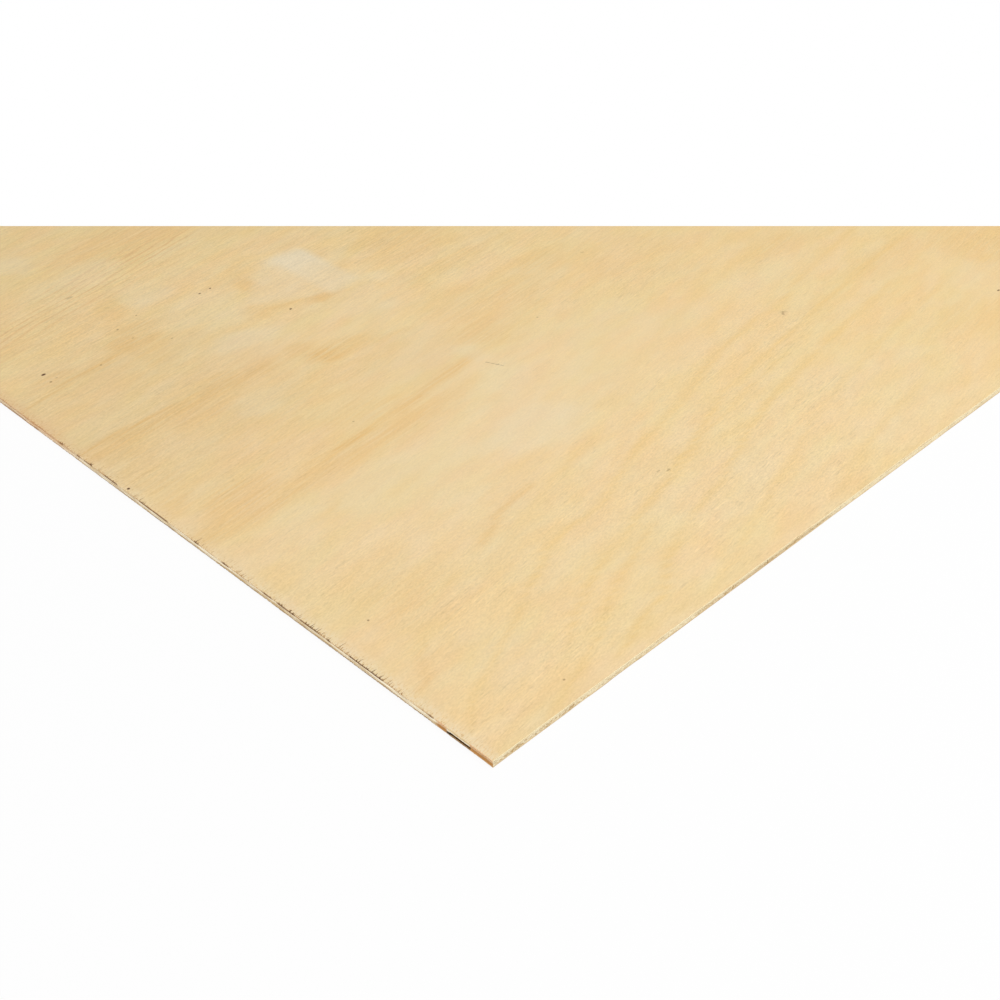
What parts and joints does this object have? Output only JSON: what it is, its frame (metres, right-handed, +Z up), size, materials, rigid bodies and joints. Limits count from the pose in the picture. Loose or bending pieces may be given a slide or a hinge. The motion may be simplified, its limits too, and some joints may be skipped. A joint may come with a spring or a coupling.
{
  "type": "plywood sheet",
  "caption": "Thin plywood sheet: pale rotary-cut face and back veneers glued crosswise to a thicker core, sawn square, for lining, backing or cutting to size.",
  "frame": {"origin": "middle of the sheet's back, on the surface that it rests on", "axes": "+X along the length and the grain of the face, +Y across the width, +Z up out of the face"},
  "size_m": [2.44, 1.22, 0.005],
  "materials": {
    "face_veneer": "sanded, unfinished",
    "core_veneer": "sawn, unfinished",
    "back_veneer": "rough peeled, unfinished"
  },
  "bodies": {
    "root": {"face_veneer": "face_veneer", "core_veneer": "core_veneer", "back_veneer": "back_veneer"}
  },
  "joints": []
}
